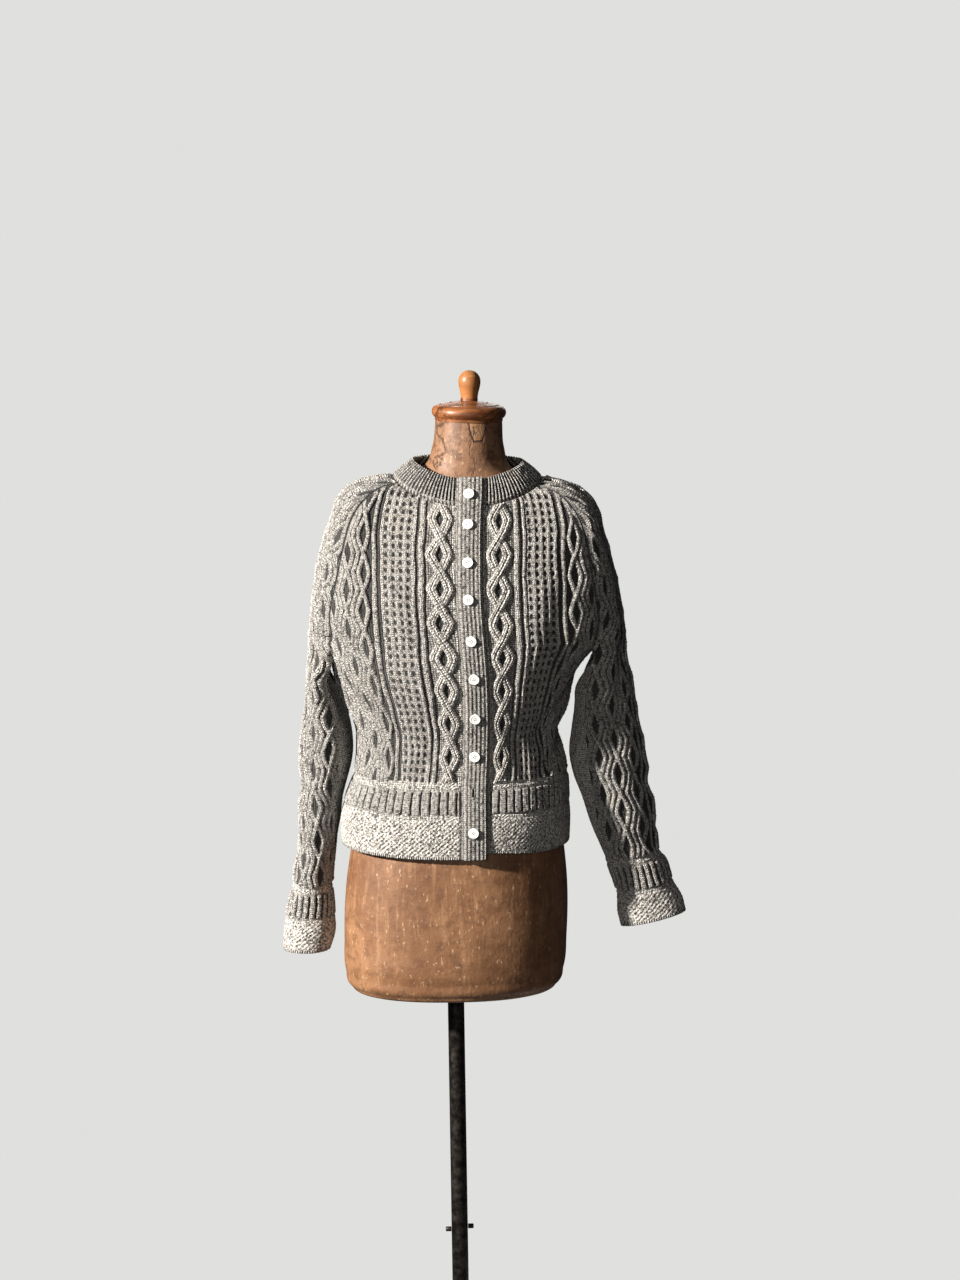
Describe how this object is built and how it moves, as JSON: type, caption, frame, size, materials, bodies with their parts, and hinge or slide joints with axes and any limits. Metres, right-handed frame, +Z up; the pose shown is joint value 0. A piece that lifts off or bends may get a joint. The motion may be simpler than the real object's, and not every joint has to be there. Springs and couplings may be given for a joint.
{
  "type": "cable knit cardigan on a dress form",
  "caption": "Hand-knit cable cardigan with raglan sleeves and a buttoned front, worn by a limbless dress form on a steel pole and round base.",
  "frame": {"origin": "centre of the round base's underside, on the floor under the pole", "axes": "+Z up along the pole; the cardigan's front faces -Y; +X is the viewer's right, the wearer's left"},
  "size_m": [0.5638, 0.34, 1.5441],
  "materials": {
    "wool": "grey-marl hand-knit wool",
    "shell": "pearly white buttons",
    "papier": "aged brown varnished papier-mache",
    "wood": "orange-brown varnished turned wood",
    "steel": "blackened steel",
    "iron": "black iron"
  },
  "bodies": {
    "root": {"front_right": "wool", "front_left": "wool", "back": "wool", "sleeve_right": "wool", "sleeve_left": "wool", "neckband": "wool", "buttonhole_band": "wool", "button_band": "wool", "button_1": "shell", "button_2": "shell", "button_3": "shell", "button_4": "shell", "button_5": "shell", "button_6": "shell", "button_7": "shell", "button_8": "shell", "button_9": "shell", "form_torso": "papier", "form_cap": "wood", "form_knob": "wood", "pole": "steel", "set_screw_1": "steel", "set_screw_2": "steel", "base": "iron"}
  },
  "joints": []
}
